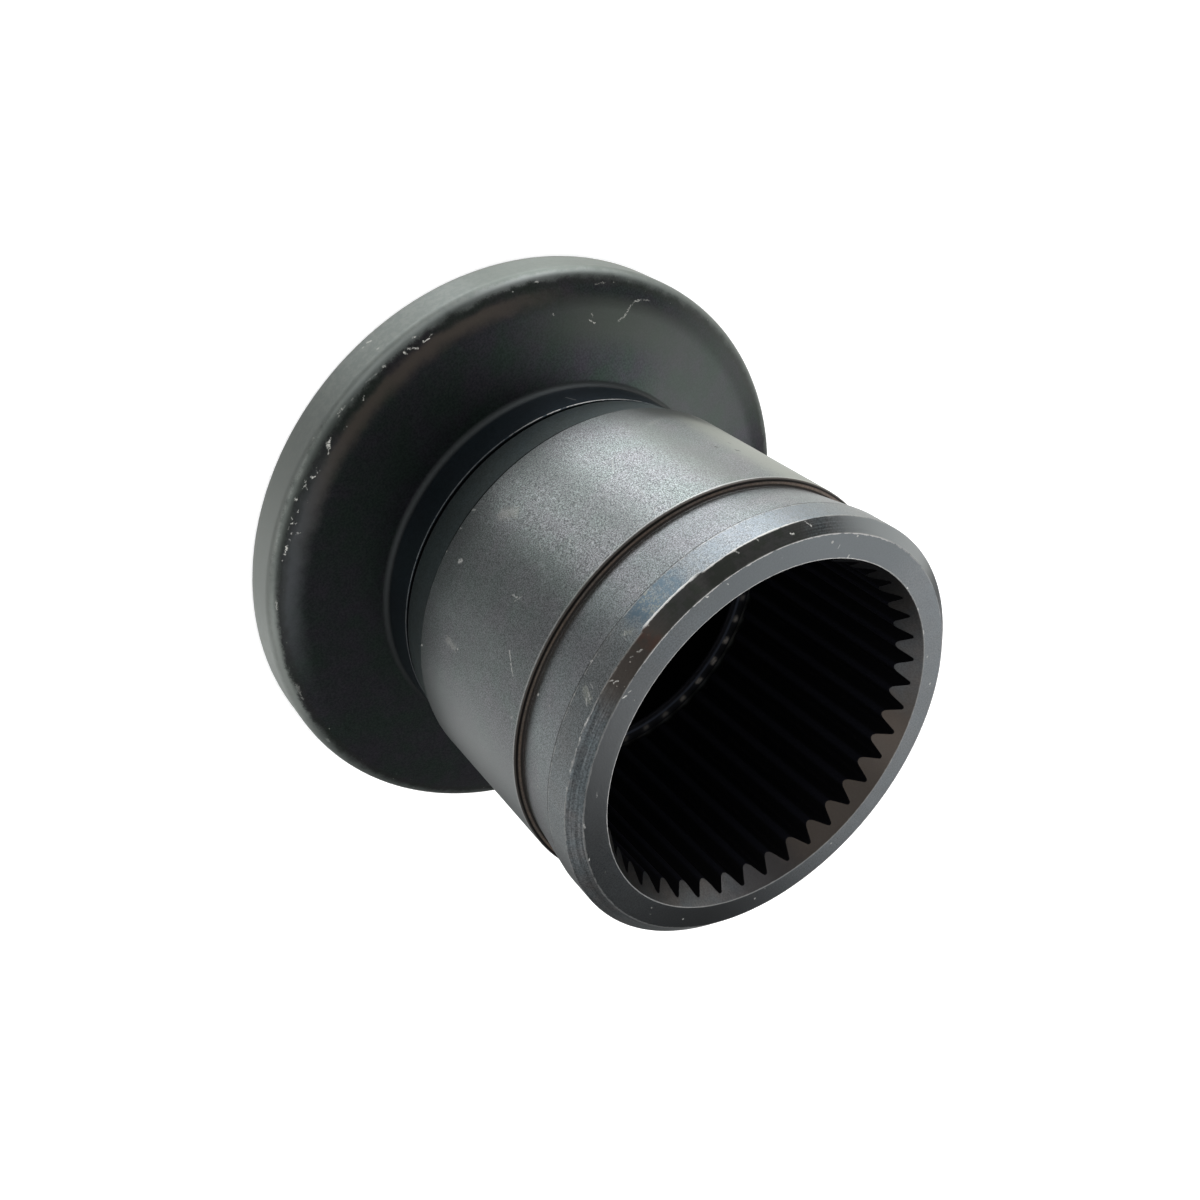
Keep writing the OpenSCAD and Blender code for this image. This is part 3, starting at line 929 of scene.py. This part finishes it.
def chamfer_finish():
    """Mouth chamfer: grey with tool lines on one side, brown-black on the other, and broken bright edges."""
    f = Finish(
        "chamfer_black", (0.2, 0.222, 0.236), 0.3, pitch=0.28, ring_depth=0.022, grain_depth=0.012,
        warm=(1.1, 0.97, 0.92), cool=(0.95, 1, 1), sparkle=0.3, lines=0.3,
    )
    f.over(f.sector(194, 24, 6, 3), (0.27, 0.288, 0.3), 0.3)
    f.over((f.sector(258, 32, 5, 4), 0.9), (0.105, 0.105, 0.1), 0.34)
    blotches = f.fade(f.noise(f.point, 0.5, 3.0, 0.6), 0.44, 0.6, 0, 0.6)
    f.over((blotches, f.sector(250, 20, 8, 4)), (0.075, 0.088, 0.07), 0.38)
    f.over((f.sector(278, 9, 5, 4), 0.7), (0.165, 0.14, 0.122), 0.36)
    f.over((f.sector(273.2, 1.2, 2.2, 9), 0.5), (0.24, 0.12, 0.09), 0.36)
    f.edge(SEAT_R, CHAMFER_Z, 0.15, 1.2, 0.3, gaps=0.45)
    f.edge(MOUTH_R, MOUTH_Z, 0.14, 1.0, 0.3, gaps=0.3)
    battered_line(f)
    f.specks(0.6, 0.1, (0.35, 0.33, 0.3), f.sector(280, 12, 3))
    f.marks(placed(CHAMFER_MARKS, on_chamfer), (0.5, 0.5, 0.47), scale=0.55, broken=0.6)
    return f.done()


def mouth_line(f):
    """Thin dry line along the mouth's inner edge, paler on the side towards the light as a painted highlight.
    """
    line = f.near_edge(LEAD_IN_R, MOUTH_Z, 0.16, 0.5, gaps=0.3)
    f.over((line, f.side(262, 70, 24, 4, 0.9, 0.35)), (0.46, 0.46, 0.45), 0.6, dry=0.9)


def mouth_finish():
    """Faced mouth ring in grey, darker on one side and lighter on another as painted reflections, with thin
    pale lines at both edges.
    """
    f = Finish(
        "mouth_grey", (0.105, 0.112, 0.117), 0.3, pitch=0.22, grain_depth=0.012,
        cool=(0.97, 1, 1.02), sparkle=0.2,
    )
    # Painted reflections: darker about 32 and 224 degrees, lighter about 304 degrees
    f.over(f.sector(32, 22, 22, 3), (0.05, 0.053, 0.056), 0.3)
    f.over(f.sector(304, 18, 16, 3), (0.145, 0.153, 0.158), 0.3)
    f.over(f.side(224, 36, 16, 3, 0.8), (0.08, 0.088, 0.093), 0.3)
    # Worn pale line at the outer edge, strongest on the side about 238 degrees as a painted highlight
    rim_line = f.near_edge(MOUTH_R - 0.05, MOUTH_Z, 0.15, 1.4, gaps=0.4)
    f.over((rim_line, f.side(238, 40, 16, 4, 1, 0.3)), (0.36, 0.36, 0.35), 0.5, dry=0.8)
    mouth_line(f)
    f.specks(1.2, 0.05, (0.3, 0.3, 0.29))
    f.marks(placed(MOUTH_MARKS, on_mouth), DULL_STEEL, scale=0.55, broken=0.5)
    return f.done()


def lead_in_finish():
    """Lead-in cone, turned and browned in part."""
    f = Finish(
        "lead_in_grey", (0.15, 0.155, 0.16), 0.36, pitch=0.3, ring_depth=0.016, grain_depth=0.008,
        warm=(1.1, 1, 0.94), cool=(0.95, 1, 1.03), sparkle=0.15,
    )
    f.over((f.sector(92, 42, 10, 6), 0.9), (0.079, 0.065, 0.055), 0.42)
    f.over((f.sector(54, 14, 9, 6), 0.75), (0.032, 0.033, 0.036), 0.5)
    mouth_line(f)
    return f.done()


def spline_finish():
    """Teeth in the dark of the bore, painted near black as shade, with a dry film, and paler along their
    noses as a painted highlight.
    """
    f = Finish("spline_black", (0.0016, 0.0016, 0.002), 0.5, pitch=0.6, metal=0.0)
    # Painted highlight along the tooth noses
    f.over(f.fade(f.radius, TIP_R + 0.4, TIP_R + 0.05), (0.0036, 0.0038, 0.0058), 0.5)
    return f.done(specular=0.1)


def shoulder_finish():
    """Dark shoulder behind the teeth, with painted glints: a dry pale spot behind each space between them."""
    f = Finish("shoulder_grey", (0.006, 0.0062, 0.008), 0.6, pitch=0.4, metal=0.0)
    # Painted highlight: a faint bluish ring just inside the tooth tips
    f.over(f.band(f.radius, TIP_R - 0.8, TIP_R - 0.5, TIP_R - 0.2, TIP_R + 0.1), (0.022, 0.026, 0.036))
    x, y, _ = f.node("ShaderNodeSeparateXYZ", f.around).outputs
    turn = f.math("ARCTAN2", y, x)
    # The wave is 1 in the middle of each space, because one is centred on +X
    wave = f.math("COSINE", f.product(turn, TEETH))
    in_space = f.fade(f.math("MULTIPLY_ADD", f.sway(f.point, 0.8, 3.0, 0.6), 1.8, wave), 0.2, 1.3)
    behind_teeth = f.band(f.radius, TIP_R - 0.3, TIP_R + 0.5, ROOT_R - 0.6, ROOT_R + 0.1)
    # Painted glints, strongest on the side about 104 degrees
    f.over((behind_teeth, in_space, f.side(104, 14, 26, 8, 1, 0.25)), (0.19, 0.174, 0.155), 0.6)
    return f.done(specular=0.1)


def rear_finish():
    """Plain bore and flat back, faced and blackened."""
    f = Finish(
        "rear_black", (0.06, 0.064, 0.063), 0.4, pitch=0.35, ring_depth=0.006, grain=0.4,
        warm=(1.05, 1, 0.95), cool=(0.95, 1, 1.03),
    )
    return f.done()


COORDINATES = turned_coordinates()
TURNING = turning_marks()
GRAIN = steel_grain()
EDGE = edge_wear()
MARK = scored_mark()
SPECKS = loose_specks()

ZONES = {
    "rear": rear_finish,
    "flange": flange_finish,
    "neck": neck_finish,
    "taper": taper_finish,
    "seat": seat_finish,
    "groove": groove_finish,
    "ramp": ramp_finish,
    "collar": collar_finish,
    "chamfer": chamfer_finish,
    "mouth": mouth_finish,
    "lead_in": lead_in_finish,
    "spline": spline_finish,
    "shoulder": shoulder_finish,
}


def involute(angle):
    return math.tan(angle) - angle


def pressure_at(radius):
    return math.acos(PITCH_R * math.cos(PRESSURE_ANGLE) / radius)


def tooth_half(radius):
    """Half the angle that a tooth takes up at a radius."""
    return math.pi / (2 * TEETH) - involute(PRESSURE_ANGLE) + involute(pressure_at(radius))


def tooth_columns():
    """(angle, radius) of each point of the splined outline, with a space centred on +X."""
    half_pitch = math.pi / TEETH
    root_break = 0.1
    tilt = pressure_at(TIP_R) + tooth_half(TIP_R)
    turn = math.pi / 2 - tilt
    half_w = TIP_R * math.sin(tooth_half(TIP_R))
    nose_r = half_w / (math.sin(turn) - (1 - math.cos(turn)) * math.tan(tilt))
    nose = [
        (TIP_R + nose_r * (1 - math.cos(turn * s)), nose_r * math.sin(turn * s)) for s in (1, 2 / 3, 1 / 3)
    ]
    # From the middle of a space to the middle of a tooth
    half = [(0.0, ROOT_R)]
    half.append((half_pitch - tooth_half(ROOT_R) - root_break / ROOT_R, ROOT_R - root_break * 0.1))
    flank_end = math.hypot(*nose[0])
    for share in (root_break, 0.4, 0.7):
        radius = ROOT_R + (flank_end - ROOT_R) * share
        half.append((half_pitch - tooth_half(radius), radius))
    half += [(half_pitch - math.atan2(y, x), math.hypot(x, y)) for x, y in nose]
    crest = (half_pitch, TIP_R)
    other_side = [(2 * half_pitch - angle, radius) for angle, radius in reversed(half[1:])]
    one = half + [crest] + other_side
    return [(i * 2 * half_pitch + angle, radius) for i in range(TEETH) for angle, radius in one]


def rounded(before, corner, after, radius, steps):
    """Points of the arc that replaces a corner, each (radius, height)."""
    here = Vector(corner)
    u = (Vector(before) - here).normalized()
    v = (Vector(after) - here).normalized()
    half = math.acos(max(-1, min(1, u.dot(v)))) / 2
    centre = here + (u + v).normalized() * (radius / math.sin(half))
    start = here + u * (radius / math.tan(half)) - centre
    swing = math.pi - 2 * half
    side = -1 if u.x * v.y - u.y * v.x > 0 else 1
    turns = [Matrix.Rotation(side * swing * i / steps, 2) for i in range(steps + 1)]
    return [tuple(centre + turn @ start) for turn in turns]


def outline():
    """Corners of the half section from the rear bore round to the lead-in cone.

    Each is (radius, height, edge radius, steps of its arc, zone that follows, spans up to the next)."""
    return [
        (REAR_BORE_R, REAR_CHAMFER, 0.15, 2, "rear", 1),
        (REAR_BORE_R + REAR_CHAMFER, 0, 0.2, 2, "rear", 4),
        (FLANGE_R, 0, 0.35, 3, "flange", 5),
        (FLANGE_R, RIM_Z, RIM_CORNER_R, 12, "flange", 4),
        (BAND_R, BAND_Z, RIM_BAND_R, 4, "flange", 8),
        (NECK_R, FLANGE_ROOT_Z, NECK_FILLET_R, 5, "neck", 4),
        (NECK_R, UNDERCUT_Z - UNDERCUT_CHAMFER, 0.08, 1, "neck", 1),
        (NECK_R - UNDERCUT_CHAMFER, UNDERCUT_Z, 0.06, 2, "neck", 1),
        (UNDERCUT_R, UNDERCUT_Z, 0.12, 2, "neck", 1),
        (UNDERCUT_R, TAPER_Z, 0.12, 2, "neck", 1),
        (TAPER_SMALL_R, TAPER_Z, 0.12, 2, "taper", 4),
        (TAPER_LARGE_R, SEAT_Z, 0.04, 1, "seat", 1),
        (SEAT_R, SEAT_Z, 0.1, 2, "seat", 14),
        (SEAT_R, GROOVE_Z - SEAT_CHAMFER_H, 0.25, 2, "seat", 1),
        (SEAT_R - SEAT_CHAMFER, GROOVE_Z, 0.08, 2, "groove", 1),
        (GROOVE_R, GROOVE_Z, GROOVE_FILLET_R, 3, "ramp", 6),
        (SEAT_R, COLLAR_Z, 0.5, 2, "collar", 4),
        (SEAT_R, CHAMFER_Z, 0.14, 2, "chamfer", 4),
        (MOUTH_R, MOUTH_Z, 0.14, 2, "mouth", 4),
        (LEAD_IN_R, MOUTH_Z, 0.12, 2, "lead_in", 2),
    ]


def outer_rings():
    """Rings from the rear bore to the mouth's inner edge: (radius, height) and the zone that follows each."""
    corners = outline()
    slope = math.tan(LEAD_IN_ANGLE)
    before = (REAR_BORE_R, SHOULDER_Z)
    last = (LEAD_IN_R - slope, MOUTH_Z - 1)
    places = [before] + [corner[:2] for corner in corners] + [last]
    arcs = [
        rounded(places[i], places[i + 1], places[i + 2], corner[2], corner[3])
        for i, corner in enumerate(corners)
    ]
    rings = []
    for i, (arc, corner) in enumerate(zip(arcs, corners)):
        zone, spans = corner[4], corner[5]
        earlier = corners[i - 1][4] if i else "rear"
        middle = len(arc) // 2
        rings += [(point, zone if k >= middle else earlier) for k, point in enumerate(arc)]
        if i + 1 < len(arcs):
            start, end = Vector(arc[-1]), Vector(arcs[i + 1][0])
            rings += [(tuple(start.lerp(end, s / spans)), zone) for s in range(1, spans)]
    return rings


def inner_rings():
    """Rings of the splined bore, each a function of a column's radius, and the zone that follows each."""
    slope = math.tan(LEAD_IN_ANGLE)
    edge = 0.12

    def cut(radius):
        """Height where the lead-in cone meets a column."""
        return MOUTH_Z - (LEAD_IN_R - radius) / slope

    def on_cone(share):
        return lambda r: (LEAD_IN_R + (r - LEAD_IN_R) * share, MOUTH_Z + (cut(r) - MOUTH_Z) * share)

    def on_wall(share):
        return lambda r: (r, cut(r) - edge + (SPLINE_Z + edge - cut(r) + edge) * share)

    def fixed(radius, height):
        return lambda r: (radius, height)

    def break_start(r):
        return (r + edge * math.sin(LEAD_IN_ANGLE), cut(r) + edge * math.cos(LEAD_IN_ANGLE))

    foot = SHOULDER_Z - SHOULDER_CHAMFER
    drop = foot - REAR_CHAMFER
    return [
        (on_cone(0.3), "lead_in"),
        (on_cone(0.6), "lead_in"),
        (break_start, "lead_in"),
        (lambda r: (r + edge * 0.12, cut(r)), "spline"),
        *((on_wall(share), "spline") for share in (0, 0.03, 0.2, 0.5, 0.8, 1)),
        (lambda r: (r + edge, SPLINE_Z), "spline"),
        (fixed(RELIEF_R, SPLINE_Z), "rear"),
        (fixed(RELIEF_R, SHOULDER_Z), "shoulder"),
        (fixed(REAR_BORE_R + SHOULDER_CHAMFER + 0.1, SHOULDER_Z), "shoulder"),
        (fixed(REAR_BORE_R + SHOULDER_CHAMFER - 0.05, SHOULDER_Z - 0.05), "shoulder"),
        *((fixed(REAR_BORE_R, foot - drop * share), "rear") for share in (0, 0.05, 0.35, 0.65, 0.95)),
    ]


def finished_coupling():
    """The whole coupling as one closed mesh: rings round the section, columns round the axis."""
    columns = tooth_columns()
    outer = outer_rings()
    inner = inner_rings()
    points = []
    zones = [zone for _, zone in outer] + [zone for _, zone in inner]
    for (radius, height), _ in outer:
        points += [place_at(angle, radius, height - worn_down(angle, radius, height)) for angle, _ in columns]
    for shape, _ in inner:
        for angle, column_r in columns:
            radius, height = shape(column_r)
            points.append(place_at(angle, radius, height))
    names = list(ZONES)
    count, turn = len(zones), len(columns)
    faces, slots = [], []
    for ring, zone in enumerate(zones):
        here, following = ring * turn, (ring + 1) % count * turn
        for column in range(turn):
            beside = (column + 1) % turn
            faces.append((here + column, here + beside, following + beside, following + column))
            slots.append(names.index(zone))
    mesh = bpy.data.meshes.new("coupling_finished")
    mesh.from_pydata(points, [], faces)
    for finish in ZONES.values():
        mesh.materials.append(finish())
    mesh.polygons.foreach_set("material_index", slots)
    mesh.polygons.foreach_set("use_smooth", [True] * len(faces))
    mesh.validate()
    shade_by_area(mesh)
    return new_object("coupling_finished", mesh)


def shade_by_area(mesh):
    """Leans each point's shading to its largest faces, so that spans look flat and the breaks round."""
    leaning = [Vector() for _ in mesh.vertices]
    for face in mesh.polygons:
        pull = face.normal * (face.area / MM ** 2)
        for corner in face.vertices:
            leaning[corner] += pull
    mesh.normals_split_custom_set_from_vertices([pull.normalized() for pull in leaning])


# Battered stretches of the chamfer's outer edge: from and to in degrees, and depth
BATTERED = ((254.5, 273.5, 0.36), (255.2, 258.6, 0.16), (286.0, 292.0, 0.1))
BATTER_RUN = 1.6


def worn_down(turn, radius, height):
    """How far a point by the chamfer's outer edge lies below its turned place, where that is battered."""
    if height <= COLLAR_Z or radius < MOUTH_R:
        return 0
    angle = math.degrees(turn)
    depth = 0.0
    for start, end, most in BATTERED:
        rise = min(max((angle - start) / BATTER_RUN, 0), 1)
        fall = min(max((end - angle) / BATTER_RUN, 0), 1)
        depth += most * rise * fall
    if height < CHAMFER_Z:
        return depth * (height - COLLAR_Z) / COLLAR_H
    return depth * (radius - MOUTH_R) / (SEAT_R - MOUTH_R)


def place_at(turn, radius, height):
    """Point in metres from its angle in radians and its radius and height in millimetres."""
    return (radius * math.cos(turn) * MM, radius * math.sin(turn) * MM, height * MM)


photo_camera()
studio_world()
studio_lights()
pale_floor()
bore_shade()

coupling = finished_coupling()
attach(coupling, "root")
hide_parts(NODE)

bpy.context.scene.view_settings.view_transform = "Standard"
